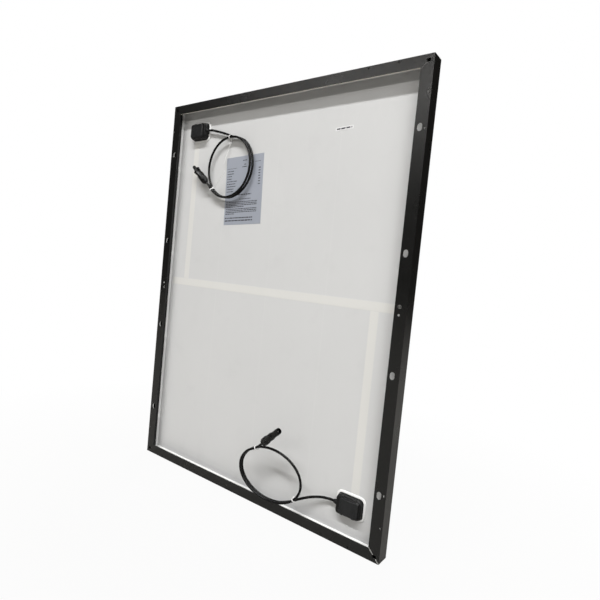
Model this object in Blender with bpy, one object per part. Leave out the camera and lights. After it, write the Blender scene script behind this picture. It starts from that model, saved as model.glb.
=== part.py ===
"""Framed solar panel standing upright on its short edge, modelled as the pieces it comes apart into.

Metres, +Z up. X runs to the right as the back of the panel is looked at, the back faces -Y and the
glass faces +Y. The origin is the middle of the bottom edge. The panel is a mitred aluminium frame
round a glass laminate, with two small junction boxes in opposite corners. Each box has one lead,
wound into a tied loop and ending in a plug connector.
"""

import math

import bmesh
import bpy
from mathutils import Matrix, Vector

# Overall size
PANEL_WIDTH = 0.700
PANEL_HEIGHT = 0.920
FRAME_DEPTH = 0.030
FRONT = FRAME_DEPTH / 2
BACK = -FRAME_DEPTH / 2

# Frame section, measured inwards from the outer face
WALL = 0.0015
LIP_WIDTH = 0.0075
LONG_FLANGE = 0.024
SHORT_FLANGE = 0.022
CHAMBER_WIDTH = 0.009
CHAMBER_BACK = -0.0035
CHAMBER_WALL = 0.0012
MITRE_GAP = 0.0002
GAP = 0.0003

# Holes in the flanges, measured from the nearer end of the rail and from its outer face
SLOT_WIDTH = 0.009
SLOT_LENGTH = 0.014
SLOT_INSET = 0.014
SLOT_FROM_END = (0.126, 0.349)
EARTH_RADIUS = 0.0021
EARTH_INSET = 0.0145
DRAIN_RADIUS = 0.0017
DRAIN_INSET = 0.0042
DRAIN_FROM_END = (0.067, 0.129)
NOTCH_INSET = 0.0105
NOTCH_X = 0.007
NOTCH_Z = 0.006

# Laminate, as (front face, back face) of each layer
EDGE_CLEARANCE = 0.0025
GLASS = (0.0124, 0.0092)
FRONT_ENCAPSULANT = (0.0091, 0.0087)
CELL_LAYER = (0.0086, 0.0084)
REAR_ENCAPSULANT = (0.0083, 0.0079)
RIBBON_LAYER = (0.0083, 0.00815)
STRIP_LAYER = (0.00805, 0.0079)
BACKSHEET = (0.0078, 0.0074)
SHELF = BACKSHEET[1] - 0.0006

# Cell strings: four columns, each in an upper and a lower half
CELL_WIDTH = 0.15875
COLUMN_GAP = 0.002
STRING_HEIGHT = 0.4296
BAND_CENTRE = 0.4685
STRING_TO_BAND = 0.0073
MID_BUS_WIDTH = 0.008
END_BUS_WIDTH = 0.005
END_BUS_OFFSET = 0.0036
RIBBON_WIDTH = 0.006
STRIP_WIDTH = 0.018
STRIP_X = 0.276
BAND_REACH = 0.330

# Junction boxes. Side is +1 where the lead leaves towards +X, and -1 where it leaves towards -X
BOXES = {"upper": ((-0.2625, 0.8515), 1), "lower": ((0.2695, 0.0737), -1)}
BOX_WIDTH = 0.055
BOX_HEIGHT = 0.039
BOX_CORNER = 0.008
BOX_WALL = 0.0016
ADHESIVE = (BACKSHEET[1] - GAP, BACKSHEET[1] - 0.001)
BOX_FLOOR = (ADHESIVE[1] - GAP, ADHESIVE[1] - GAP - 0.0015)
BOX_RIM = -0.0045
LID_FACE = -0.0096
TAP_OFFSET = (-0.0105, -0.007)
LEAD_OFFSET = (0.0095, 0.0065)

# Leads
CABLE_RADIUS = 0.0027
CABLE_STEP = 0.0125
TURN_PITCH = 0.0058
GLAND_LENGTH = 0.007

# The two loops: centre and half-sizes in X and Z, depth at the loop's centre, how far each turn drifts
# towards -X, the tilt, and the angles, from +X towards +Z, at which the lead joins and leaves the loop
UPPER_LOOP = {
    "centre": (-0.1433, 0.755), "half": (0.0707, 0.072), "depth": 0.0020, "drift": 0.0032, "tilt": (0.0, 0.0),
    "joins": 80.0, "leaves": 226.8 - 720.0,
}
LOWER_LOOP = {
    "centre": (0.0881, 0.0843), "half": (0.0785, 0.0575), "depth": -0.0223, "drift": 0.0, "tilt": (0.07, -0.08),
    "joins": -50.0, "leaves": 117.7 - 720.0,
}
# What the lead does before and after its loop, from the gland to the connector
UPPER_LEAD = [(-0.2277, 0.0, 0.8515), (-0.2150, 0.0, 0.8502), (-0.2000, 0.0002, 0.8465),
              (-0.1830, 0.0008, 0.8420), (-0.1650, 0.0014, 0.8366), (-0.1480, 0.0018, 0.8302)]
UPPER_TAIL = [(-0.2018, -0.0086, 0.7124), (-0.2104, -0.0098, 0.7195)]
UPPER_PLUG_AXIS = (-0.780, 0.0, 0.626)
LOWER_LEAD = [(0.2347, 0.0, 0.0737), (0.2220, -0.0006, 0.0731), (0.2050, -0.0028, 0.0706),
              (0.1860, -0.0066, 0.0650), (0.1690, -0.0108, 0.0575), (0.1530, -0.0143, 0.0487)]
LOWER_TAIL = [(0.0600, -0.0379, 0.1412), (0.0691, -0.0385, 0.1500)]
LOWER_PLUG_AXIS = (0.740, -0.150, 0.655)

# Ties round the loops, as the angle at which each sits
TIE_ANGLES = {"upper": (93.5, 226.8), "lower": (-37.0, 117.7)}
TIE_WIDTH = 0.0026
TIE_THICKNESS = 0.0009
TIE_CLEARANCE = 0.0012

# Labels: centre, size and tilt in degrees
NAMEPLATE = ((-0.0992, 0.7011), (0.1185, 0.1620), 2.7)
SERIAL_STICKER = ((0.1660, 0.8173), (0.0420, 0.0070), 3.0)
LABEL_THICKNESS = 0.00015


def clear_scene():
    for obj in list(bpy.data.objects):
        bpy.data.objects.remove(obj, do_unlink=True)


def material(name, colour, roughness, metallic=0.0):
    made = bpy.data.materials.new(name)
    made.use_nodes = True
    shader = made.node_tree.nodes["Principled BSDF"]
    shader.inputs["Base Color"].default_value = (*colour, 1.0)
    shader.inputs["Roughness"].default_value = roughness
    shader.inputs["Metallic"].default_value = metallic
    return made


def mesh_object(name, points, faces, finish, smooth=False):
    """A closed mesh with its faces turned outwards, linked to the scene."""
    mesh = bpy.data.meshes.new(name)
    mesh.from_pydata([tuple(p) for p in points], [], faces)
    shape = bmesh.new()
    shape.from_mesh(mesh)
    bmesh.ops.recalc_face_normals(shape, faces=shape.faces)
    shape.to_mesh(mesh)
    shape.free()
    if smooth:
        mesh.shade_smooth()
        mesh.set_sharp_from_angle(angle=math.radians(35))
    obj = bpy.data.objects.new(name, mesh)
    if finish:
        mesh.materials.append(finish)
    bpy.context.scene.collection.objects.link(obj)
    return obj


def skin_between(loops, closed_ends=True, closed_ring=False):
    """Faces that join point loops of equal length one after another."""
    count = len(loops[0])
    faces = []
    last = len(loops) if closed_ring else len(loops) - 1
    for i in range(last):
        here, there = i * count, (i + 1) % len(loops) * count
        for j in range(count):
            k = (j + 1) % count
            faces.append((here + j, here + k, there + k, there + j))
    if closed_ends and not closed_ring:
        faces.append(tuple(range(count)))
        faces.append(tuple(range((len(loops) - 1) * count, len(loops) * count)))
    points = [point for loop in loops for point in loop]
    return points, faces


def prism(name, outline, depth, finish):
    """An outline in X and Z, extruded between the two Y values of depth."""
    loops = [[(x, y, z) for x, z in outline] for y in depth]
    return mesh_object(name, *skin_between(loops), finish)


def rectangle(low_x, high_x, low_z, high_z):
    return [(low_x, low_z), (high_x, low_z), (high_x, high_z), (low_x, high_z)]


def rounded_rectangle(width, height, radius, steps=4):
    outline = []
    for quarter in range(4):
        corner_x = (width / 2 - radius) * (1 if quarter in (0, 3) else -1)
        corner_z = (height / 2 - radius) * (1 if quarter in (0, 1) else -1)
        for step in range(steps + 1):
            angle = math.radians(90 * (quarter + step / steps))
            outline.append((corner_x + radius * math.cos(angle), corner_z + radius * math.sin(angle)))
    return outline


def stadium(half_gap, radius, steps=6):
    """A round-ended outline along its first axis, whose end arcs are centred at +-half_gap."""
    outline = []
    for end in (0, 1):
        for step in range(steps + 1):
            angle = math.radians(-90 + 180 * (end + step / steps))
            centre = half_gap if end == 0 else -half_gap
            outline.append((centre + radius * math.cos(angle), radius * math.sin(angle)))
    return outline


def circle(radius, count=12):
    return [(radius * math.cos(math.tau * i / count), radius * math.sin(math.tau * i / count))
            for i in range(count)]


def moved(outline, x, z):
    return [(px + x, pz + z) for px, pz in outline]


def stacked_rings(name, rings, centre, finish):
    """A closed cup or cap from rounded rectangles (width, height, corner radius, y), in order."""
    loops = []
    for width, height, radius, y in rings:
        loops.append([(x + centre[0], y, z + centre[1])
                      for x, z in rounded_rectangle(width, height, radius)])
    return mesh_object(name, *skin_between(loops), finish, smooth=True)


def turned(name, profile, start, axis, finish, sides=16):
    """A turned piece: profile is (distance along the axis from start, radius), end to end."""
    turn = Vector((1, 0, 0)).rotation_difference(Vector(axis)).to_matrix()
    loops = []
    for along, radius in profile:
        loops.append([Vector(start) + turn @ Vector((along, y, z)) for y, z in circle(radius, sides)])
    return mesh_object(name, *skin_between(loops), finish, smooth=True)


def boolean(obj, other, operation="DIFFERENCE"):
    change = obj.modifiers.new(operation.title(), "BOOLEAN")
    change.object = other
    change.operation = operation
    change.solver = "EXACT"
    other.hide_render = True
    other.display_type = "WIRE"


def cutters(name, prisms):
    """One hidden cutter made of separate prisms, each an outline and its two Y values."""
    points, faces = [], []
    for outline, depth in prisms:
        loops = [[(x, y, z) for x, z in outline] for y in depth]
        more_points, more_faces = skin_between(loops)
        faces += [tuple(i + len(points) for i in face) for face in more_faces]
        points += more_points
    return mesh_object(name, points, faces, None)


def frame_rail(name, length, flange, has_slots, place, turn, notch_along, notch_inwards, finish):
    """A rail in its own frame: X along it, Z inwards from its outer face, mitred at both ends."""
    groove = FRONT - WALL
    section = [
        (0, BACK), (flange, BACK), (flange, BACK + WALL), (WALL, BACK + WALL),
        (WALL, CHAMBER_BACK), (CHAMBER_WIDTH, CHAMBER_BACK), (CHAMBER_WIDTH, SHELF), (WALL, SHELF),
        (WALL, groove), (LIP_WIDTH, groove), (LIP_WIDTH, FRONT), (0, FRONT),
    ]
    loops = [[(end * (length / 2 - u - MITRE_GAP), y, u) for u, y in section] for end in (-1, 1)]
    rail = mesh_object(name, *skin_between(loops), finish)

    chamber = rectangle(-length, length, WALL, CHAMBER_WIDTH - CHAMBER_WALL)
    holes = [(chamber, (CHAMBER_BACK + CHAMBER_WALL, SHELF - CHAMBER_WALL))]
    through = (BACK - 0.001, BACK + WALL + 0.001)
    for end in (-1, 1):
        notch = rectangle(-notch_along / 2, notch_along / 2, -notch_inwards / 2, notch_inwards / 2)
        holes.append((moved(notch, end * (length / 2 - NOTCH_INSET), NOTCH_INSET), through))
        for from_end in DRAIN_FROM_END:
            drain = moved(circle(DRAIN_RADIUS, 10), end * (length / 2 - from_end), DRAIN_INSET)
            holes.append((drain, through))
        for from_end in SLOT_FROM_END if has_slots else ():
            slot = stadium((SLOT_LENGTH - SLOT_WIDTH) / 2, SLOT_WIDTH / 2)
            holes.append((moved(slot, end * (length / 2 - from_end), SLOT_INSET), through))
    if has_slots:
        holes.append((moved(circle(EARTH_RADIUS), 0, EARTH_INSET), through))
    cutter = cutters(name + "_holes", holes)
    boolean(rail, cutter)
    for obj in (rail, cutter):
        obj.location = place
        obj.rotation_euler = (0, math.radians(turn), 0)


def frame():
    black = material("black_anodised_aluminium", (0.035, 0.036, 0.036), 0.42, 0.8)
    cast = material("bare_aluminium", (0.62, 0.63, 0.64), 0.4, 1.0)
    half_width, half_height = PANEL_WIDTH / 2, PANEL_HEIGHT / 2
    across = (PANEL_WIDTH, SHORT_FLANGE, False)
    upright = (PANEL_HEIGHT, LONG_FLANGE, True)
    frame_rail("frame_rail_bottom", *across, (0, 0, 0), 0, NOTCH_X, NOTCH_Z, black)
    frame_rail("frame_rail_right", *upright, (half_width, 0, half_height), -90, NOTCH_Z, NOTCH_X, black)
    frame_rail("frame_rail_top", *across, (0, 0, PANEL_HEIGHT), 180, NOTCH_X, NOTCH_Z, black)
    frame_rail("frame_rail_left", *upright, (-half_width, 0, half_height), 90, NOTCH_Z, NOTCH_X, black)

    key_outer = WALL + GAP
    key_inner = CHAMBER_WIDTH - CHAMBER_WALL - GAP
    key_leg = 0.032
    depth = (SHELF - CHAMBER_WALL - GAP, CHAMBER_BACK + CHAMBER_WALL + GAP)
    elbow = [(key_outer, key_outer), (key_leg, key_outer), (key_leg, key_inner),
             (key_inner, key_inner), (key_inner, key_leg), (key_outer, key_leg)]
    for side_name, side in (("left", -1), ("right", 1)):
        for level_name, level in (("bottom", 0), ("top", 1)):
            outline = [(side * (half_width - a), b if level == 0 else PANEL_HEIGHT - b) for a, b in elbow]
            prism(f"corner_key_{level_name}_{side_name}", outline, depth, cast)


def swept_round_frame(name, section, finish):
    """A ring that follows the four sides; section is (distance inwards, y)."""
    loops = []
    for side, level in ((-1, 0), (1, 0), (1, 1), (-1, 1)):
        loops.append([(side * (PANEL_WIDTH / 2 - u), y, u if level == 0 else PANEL_HEIGHT - u)
                      for u, y in section])
    return mesh_object(name, *skin_between(loops, closed_ring=True), finish)


def seals():
    white = material("white_silicone", (0.86, 0.86, 0.84), 0.55)
    grey = material("grey_edge_tape", (0.25, 0.25, 0.25), 0.8)
    inner = EDGE_CLEARANCE - GAP
    groove_front = FRONT - WALL - GAP
    swept_round_frame("edge_seal", [
        (WALL + GAP, SHELF + GAP), (inner, SHELF + GAP), (inner, GLASS[0] + GAP),
        (LIP_WIDTH - 0.0005, GLASS[0] + GAP), (LIP_WIDTH - 0.0005, groove_front),
        (WALL + GAP, groove_front),
    ], grey)
    bead_start = CHAMBER_WIDTH + GAP
    bead_face = BACKSHEET[1] - GAP
    swept_round_frame("rear_sealant_bead", [
        (bead_start, bead_face), (bead_start + 0.0042, bead_face), (bead_start + 0.0030, bead_face - 0.0010),
        (bead_start + 0.0012, bead_face - 0.0024), (bead_start, bead_face - 0.0030),
    ], white)


def box_point(key, offset):
    """A point of a junction box in panel X and Z; both boxes are the same, turned half round."""
    (x, z), side = BOXES[key]
    return x + side * offset[0], z + side * offset[1]


def laminate():
    glass = material("front_glass", (0.55, 0.62, 0.63), 0.05)
    film = material("clear_encapsulant", (0.80, 0.82, 0.80), 0.3)
    cell = material("solar_cell", (0.012, 0.016, 0.035), 0.25)
    tinned = material("tinned_copper", (0.70, 0.68, 0.64), 0.35, 1.0)
    strip = material("insulating_strip", (0.83, 0.80, 0.74), 0.6)
    sheet = material("white_backsheet", (0.80, 0.80, 0.78), 0.5)

    half = PANEL_WIDTH / 2 - EDGE_CLEARANCE
    whole = rectangle(-half, half, EDGE_CLEARANCE, PANEL_HEIGHT - EDGE_CLEARANCE)
    prism("front_glass", whole, GLASS, glass)
    prism("front_encapsulant", whole, FRONT_ENCAPSULANT, film)

    upper_low = BAND_CENTRE + STRING_TO_BAND
    lower_low = BAND_CENTRE - STRING_TO_BAND - STRING_HEIGHT
    for level, low in (("upper", upper_low), ("lower", lower_low)):
        for column in range(4):
            x = (column - 1.5) * (CELL_WIDTH + COLUMN_GAP)
            outline = rectangle(x - CELL_WIDTH / 2, x + CELL_WIDTH / 2, low, low + STRING_HEIGHT)
            prism(f"cell_string_{level}_{column + 1}", outline, CELL_LAYER, cell)

    bus_half = 1.5 * (CELL_WIDTH + COLUMN_GAP) + CELL_WIDTH / 2
    top_bus_z = upper_low + STRING_HEIGHT + END_BUS_OFFSET
    bottom_bus_z = lower_low - END_BUS_OFFSET
    for name, z, width in (("top_bus_ribbon", top_bus_z, END_BUS_WIDTH),
                           ("middle_bus_ribbon", BAND_CENTRE, MID_BUS_WIDTH),
                           ("bottom_bus_ribbon", bottom_bus_z, END_BUS_WIDTH)):
        prism(name, rectangle(-bus_half, bus_half, z - width / 2, z + width / 2), CELL_LAYER, tinned)

    # Ribbons that run behind the cells and turn out through the backsheet into the boxes
    ribbon_end = BOX_FLOOR[1] - 0.0016
    for name, key, offset, from_z in (("positive_lead_ribbon", "upper", LEAD_OFFSET, top_bus_z),
                                      ("positive_tap_ribbon", "upper", TAP_OFFSET, BAND_CENTRE),
                                      ("negative_lead_ribbon", "lower", LEAD_OFFSET, bottom_bus_z),
                                      ("negative_tap_ribbon", "lower", TAP_OFFSET, BAND_CENTRE)):
        x, z = box_point(key, offset)
        towards = 1 if from_z > z else -1
        front, back = RIBBON_LAYER
        thick = front - back
        bend = [(from_z, front), (z, front), (z, ribbon_end), (z + towards * thick, ribbon_end),
                (z + towards * thick, back), (from_z, back)]
        loops = [[(x + side * RIBBON_WIDTH / 2, y, level) for level, y in bend] for side in (-1, 1)]
        mesh_object(name, *skin_between(loops), tinned)

    half_strip = STRIP_WIDTH / 2
    band_low, band_high = BAND_CENTRE - half_strip, BAND_CENTRE + half_strip
    upper_end = box_point("upper", TAP_OFFSET)[1] - 0.0015
    lower_end = box_point("lower", TAP_OFFSET)[1] + 0.0015
    prism("middle_insulating_strip", rectangle(-BAND_REACH, BAND_REACH, band_low, band_high),
          STRIP_LAYER, strip)
    prism("left_insulating_strip", rectangle(-STRIP_X - half_strip, -STRIP_X + half_strip,
                                             band_high + GAP, upper_end), STRIP_LAYER, strip)
    prism("right_insulating_strip", rectangle(STRIP_X - half_strip, STRIP_X + half_strip,
                                              lower_end, band_low - GAP), STRIP_LAYER, strip)

    # The rear encapsulant flows round the strips and ribbons; the backsheet has a slit for each ribbon
    reach, wide = BAND_REACH + GAP, half_strip + GAP
    channel = [
        (-reach, band_low - GAP), (STRIP_X - wide, band_low - GAP), (STRIP_X - wide, lower_end - 0.003),
        (STRIP_X + wide, lower_end - 0.003), (STRIP_X + wide, band_low - GAP), (reach, band_low - GAP),
        (reach, band_high + GAP), (-STRIP_X + wide, band_high + GAP), (-STRIP_X + wide, upper_end + 0.003),
        (-STRIP_X - wide, upper_end + 0.003), (-STRIP_X - wide, band_high + GAP), (-reach, band_high + GAP),
    ]
    clear = RIBBON_WIDTH / 2 + GAP
    through = (REAR_ENCAPSULANT[0] + 0.001, BACKSHEET[1] - 0.001)
    channels, slits = [(channel, through)], []
    for key, bus_z in (("upper", top_bus_z), ("lower", bottom_bus_z)):
        x, z = box_point(key, LEAD_OFFSET)
        low, high = min(z, bus_z) - 0.001, max(z, bus_z) + 0.001
        channels.append((rectangle(x - clear, x + clear, low, high), through))
        for offset in (LEAD_OFFSET, TAP_OFFSET):
            x, z = box_point(key, offset)
            slits.append((rectangle(x - clear, x + clear, z - 0.001, z + 0.001), through))
    rear = prism("rear_encapsulant", whole, REAR_ENCAPSULANT, film)
    boolean(rear, cutters("rear_encapsulant_channels", channels))
    back = prism("backsheet", whole, BACKSHEET, sheet)
    boolean(back, cutters("backsheet_slits", slits))


def junction_box(key):
    centre, side = BOXES[key]
    black = material(key + "_box_plastic", (0.022, 0.023, 0.024), 0.5)
    glue = material(key + "_box_glue", (0.88, 0.88, 0.86), 0.5)
    copper = material(key + "_box_contact", (0.72, 0.50, 0.33), 0.35, 1.0)
    moulded = material(key + "_diode_case", (0.03, 0.03, 0.03), 0.4)

    # The glue bed is a frame round the ribbon openings, squeezed out a little past the box
    outer = moved(rounded_rectangle(BOX_WIDTH + 0.0045, BOX_HEIGHT + 0.0045, BOX_CORNER + 0.001), *centre)
    bed = prism(key + "_box_adhesive", outer, ADHESIVE, glue)
    window = moved(rounded_rectangle(0.034, 0.020, 0.002), *centre)
    through = (ADHESIVE[0] + 0.001, ADHESIVE[1] - 0.001)
    boolean(bed, cutters(key + "_adhesive_window", [(window, through)]))

    inner_width, inner_height = BOX_WIDTH - 2 * BOX_WALL, BOX_HEIGHT - 2 * BOX_WALL
    inner_corner = BOX_CORNER - BOX_WALL
    base = stacked_rings(key + "_box_base", [
        (BOX_WIDTH, BOX_HEIGHT, BOX_CORNER, BOX_FLOOR[0]),
        (BOX_WIDTH, BOX_HEIGHT, BOX_CORNER, BOX_RIM + 0.0012),
        (BOX_WIDTH - 0.002, BOX_HEIGHT - 0.002, BOX_CORNER - 0.001, BOX_RIM),
        (inner_width, inner_height, inner_corner, BOX_RIM),
        (inner_width, inner_height, inner_corner, BOX_FLOOR[1]),
    ], centre, black)
    floor = (BOX_FLOOR[0] + 0.001, BOX_FLOOR[1] - 0.001)
    ribbon_holes = []
    for offset in (TAP_OFFSET, LEAD_OFFSET):
        x, z = box_point(key, offset)
        ribbon_holes.append((rectangle(x - 0.004, x + 0.004, z - 0.0015, z + 0.0015), floor))
    boolean(base, cutters(key + "_box_ribbon_holes", ribbon_holes))
    wall_face = centre[0] + side * BOX_WIDTH / 2
    boolean(base, turned(key + "_box_gland_hole", [(-0.003, 0.0040), (0.001, 0.0040)],
                         (wall_face, 0, centre[1]), (side, 0, 0), None))

    # The lid pushes on: a chamfered cap with a skirt that fits inside the base
    skirt_width, skirt_height = inner_width - 2 * GAP, inner_height - 2 * GAP
    skirt_corner = inner_corner - GAP
    skirt = 0.0012
    lid_foot = BOX_RIM - GAP
    cap_width, cap_height = BOX_WIDTH - 0.0035, BOX_HEIGHT - 0.0035
    stacked_rings(key + "_box_lid", [
        (skirt_width - 2 * skirt, skirt_height - 2 * skirt, skirt_corner - skirt, LID_FACE + 0.0016),
        (skirt_width - 2 * skirt, skirt_height - 2 * skirt, skirt_corner - skirt, BOX_RIM + 0.0020),
        (skirt_width, skirt_height, skirt_corner, BOX_RIM + 0.0020),
        (skirt_width, skirt_height, skirt_corner, lid_foot),
        (cap_width, cap_height, 0.0055, lid_foot),
        (cap_width, cap_height, 0.0055, LID_FACE + 0.0022),
        (cap_width - 0.0018, cap_height - 0.0018, 0.0048, LID_FACE + 0.0007),
        (cap_width - 0.0044, cap_height - 0.0044, 0.0038, LID_FACE),
    ], centre, black)

    turned(key + "_cable_gland", [
        (GAP - BOX_WALL, 0.0037), (GAP, 0.0037), (GAP, 0.0052), (0.0022, 0.0052),
        (0.0030, 0.0046), (GLAND_LENGTH - 0.0008, 0.0040), (GLAND_LENGTH, 0.0034),
    ], (wall_face, 0, centre[1]), (side, 0, 0), black)

    # Two contact rails on the floor, joined by the bypass diode that lies across their tabs
    rail_top = BOX_FLOOR[1] - GAP
    thick = 0.0008
    diode_y = 0.0005
    tab_top = diode_y + 0.0006 + GAP
    for name, hand in (("tap", -1), ("lead", 1)):
        bracket = [(0.0060, rail_top), (0.0160, rail_top), (0.0160, rail_top - thick),
                   (0.0114, rail_top - thick), (0.0114, tab_top), (0.0106, tab_top),
                   (0.0106, rail_top - thick), (0.0060, rail_top - thick)]
        low, high = (-0.0040, 0.0110) if hand < 0 else (-0.0110, 0.0040)
        loops = [[(centre[0] + side * hand * x, y, centre[1] + side * z) for x, y in bracket]
                 for z in (low, high)]
        mesh_object(f"{key}_box_{name}_contact", *skin_between(loops), copper)
    turned(key + "_bypass_diode", [
        (-0.0130, 0.0006), (-0.0046, 0.0006), (-0.0046, 0.0024), (-0.0040, 0.0027),
        (0.0040, 0.0027), (0.0046, 0.0024), (0.0046, 0.0006), (0.0130, 0.0006),
    ], (centre[0], diode_y, centre[1]), (1, 0, 0), moulded, sides=12)


def loop_point(loop, angle):
    """A point of a lead's loop; each turn lies one pitch further from the backsheet than the last."""
    turn = math.radians(angle)
    wound = (loop["joins"] - angle) / 360
    x = loop["centre"][0] + loop["half"][0] * math.cos(turn) + loop["drift"] * (0.8 - wound)
    z = loop["centre"][1] + loop["half"][1] * math.sin(turn)
    lean = loop["tilt"][0] * (x - loop["centre"][0]) + loop["tilt"][1] * (z - loop["centre"][1])
    return Vector((x, loop["depth"] + lean - TURN_PITCH * wound, z))


def lead_route(lead, loop, tail):
    """The lead's own points: out of the gland, round the loop every 24 degrees or so, to the plug."""
    count = round((loop["joins"] - loop["leaves"]) / 24)
    step = (loop["leaves"] - loop["joins"]) / count
    turns = [loop_point(loop, loop["joins"] + i * step) for i in range(count + 1)]
    return [Vector(p) for p in lead] + turns + [Vector(p) for p in tail]


def smooth_points(route, step):
    """Points at even steps along the smooth curve through a route."""
    ends = [2 * route[0] - route[1]] + route + [2 * route[-1] - route[-2]]
    fine = []
    for before, start, end, after in zip(ends, ends[1:], ends[2:], ends[3:]):
        for i in range(20):
            t = i / 20
            fine.append(0.5 * (2 * start + (end - before) * t
                               + (2 * before - 5 * start + 4 * end - after) * t * t
                               + (3 * start - before - 3 * end + after) * t * t * t))
    fine.append(route[-1])
    reached = [0.0]
    for a, b in zip(fine, fine[1:]):
        reached.append(reached[-1] + (b - a).length)
    count = round(reached[-1] / step)
    even, i = [], 0
    for k in range(count + 1):
        target = reached[-1] * k / count
        while i < len(fine) - 2 and reached[i + 1] < target:
            i += 1
        share = (target - reached[i]) / (reached[i + 1] - reached[i])
        even.append(fine[i].lerp(fine[i + 1], min(1.0, share)))
    return even


def cable(name, route, finish):
    curve = bpy.data.curves.new(name, "CURVE")
    curve.dimensions = "3D"
    curve.bevel_depth = CABLE_RADIUS
    curve.bevel_resolution = 2
    curve.use_fill_caps = True
    points = smooth_points(route, CABLE_STEP)
    spline = curve.splines.new("POLY")
    spline.points.add(len(points) - 1)
    for point, place in zip(spline.points, points):
        point.co = (*place, 1.0)
    curve.materials.append(finish)
    bpy.context.scene.collection.objects.link(bpy.data.objects.new(name, curve))


def latch_arms(name, start, axis, reach):
    """Two spring arms on opposite flanks of a connector body, as one bar through it."""
    low, high = reach
    loops = []
    turn = Vector((1, 0, 0)).rotation_difference(Vector(axis)).to_matrix()
    for along, half in ((low, 0.0086), (high - 0.004, 0.0094), (high, 0.0078)):
        loops.append([Vector(start) + turn @ Vector((along, y * half, z))
                      for y, z in ((-1, -0.0022), (1, -0.0022), (1, 0.0022), (-1, 0.0022))])
    return mesh_object(name, *skin_between(loops), None)


def connector(key, start, axis, nose, bore, arms, finish, metal):
    """A plug connector: cap nut, body and contact along one axis, from the end of the lead."""
    axis = Vector(axis).normalized()
    start = Vector(start) + axis * GAP
    turned(key + "_connector_nut", [
        (0, 0.0042), (0.0030, 0.0066), (0.0062, 0.0088), (0.0180, 0.0092),
        (0.0180, 0.0073), (0.0068, 0.0073),
    ], start, axis, finish)
    body = turned(key + "_connector_body", [
        (0.0075, 0.0068), (0.0184, 0.0068), (0.0184, 0.0088), (0.0205, 0.0088), (0.0215, 0.0080),
        *nose, (nose[-1][0], bore[1]), (nose[-1][0] - bore[0], bore[1]),
    ], start, axis, finish)
    boolean(body, latch_arms(key + "_connector_arms", start, axis, arms), "UNION")
    tip = nose[-1][0]
    contact_radius = bore[1] - 0.0007 if key == "upper" else 0.0016
    turned(key + "_connector_contact", [
        (tip - bore[0] + GAP, contact_radius), (tip - 0.0030, contact_radius),
        (tip - 0.0022, contact_radius * 0.6),
    ], start, axis, metal, sides=12)


def tie(name, loop, angle, first, finish):
    """A band round the two strands that lie side by side at an angle of the loop."""
    second = loop_point(loop, angle - 360 if angle - 360 >= loop["leaves"] - 1 else loop["leaves"])
    along = (loop_point(loop, angle - 362) - loop_point(loop, angle - 358)).normalized()
    across = (second - first)
    across -= along * across.dot(along)
    half_gap = across.length / 2
    across.normalize()
    third = along.cross(across)
    middle = (first + second) / 2
    inner = stadium(half_gap, CABLE_RADIUS + TIE_CLEARANCE)
    outer = stadium(half_gap, CABLE_RADIUS + TIE_CLEARANCE + TIE_THICKNESS)
    loops = []
    for outline, shift in ((inner, -1), (inner, 1), (outer, 1), (outer, -1)):
        loops.append([middle + across * a + third * b + along * (shift * TIE_WIDTH / 2)
                      for a, b in outline])
    mesh_object(name, *skin_between(loops, closed_ring=True), finish)


def leads():
    sheath = material("lead_sheath", (0.018, 0.018, 0.019), 0.55)
    housing = material("connector_plastic", (0.020, 0.020, 0.022), 0.45)
    metal = material("tinned_contact", (0.75, 0.74, 0.72), 0.3, 1.0)
    nylon = material("white_nylon", (0.85, 0.85, 0.83), 0.45)
    cable("upper_lead", lead_route(UPPER_LEAD, UPPER_LOOP, UPPER_TAIL), sheath)
    cable("lower_lead", lead_route(LOWER_LEAD, LOWER_LOOP, LOWER_TAIL), sheath)

    socket_nose = [(0.0400, 0.0078), (0.0415, 0.0064), (0.0500, 0.0062), (0.0515, 0.0045),
                   (0.0655, 0.0043)]
    pin_nose = [(0.0380, 0.0080), (0.0400, 0.0068), (0.0640, 0.0066), (0.0655, 0.0060)]
    connector("upper", UPPER_TAIL[-1], UPPER_PLUG_AXIS, socket_nose, (0.012, 0.0031),
              (0.0230, 0.0480), housing, metal)
    connector("lower", LOWER_TAIL[-1], LOWER_PLUG_AXIS, pin_nose, (0.016, 0.0048),
              (0.0220, 0.0400), housing, metal)

    for key, loop, lead in (("upper", UPPER_LOOP, UPPER_LEAD), ("lower", LOWER_LOOP, LOWER_LEAD)):
        joining, leaving = TIE_ANGLES[key]
        tie(f"{key}_tie_at_box", loop, joining, Vector(lead[-1]), nylon)
        tie(f"{key}_tie_at_plug", loop, leaving - 360, loop_point(loop, leaving - 360), nylon)


def label(name, centre, size, tilt, finish):
    outline = rectangle(-size[0] / 2, size[0] / 2, -size[1] / 2, size[1] / 2)
    plate = prism(name, outline, (0, -LABEL_THICKNESS), finish)
    plate.matrix_world = (Matrix.Translation((centre[0], BACKSHEET[1] - 0.0001, centre[1]))
                          @ Matrix.Rotation(-math.radians(tilt), 4, "Y"))


def labels():
    silver = material("silver_label", (0.52, 0.55, 0.62), 0.4)
    white = material("white_label", (0.88, 0.88, 0.88), 0.5)
    label("nameplate", *NAMEPLATE, silver)
    label("serial_sticker", *SERIAL_STICKER, white)


def build():
    clear_scene()
    frame()
    seals()
    laminate()
    for key in BOXES:
        junction_box(key)
    leads()
    labels()


build()
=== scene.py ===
"""The looks of a framed solar panel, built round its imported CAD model.

The back of the panel faces -Y and the glass faces +Y. Places come from the frame's own boxes and from
the leads' routes, which are the same as in the CAD source. Lengths are in metres; the profiles of the
connectors, glands and lid rings and the rows of print are in millimetres, scaled by MM.
"""

import math
import random

import bmesh
import bpy
from mathutils import Matrix, Vector


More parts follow.
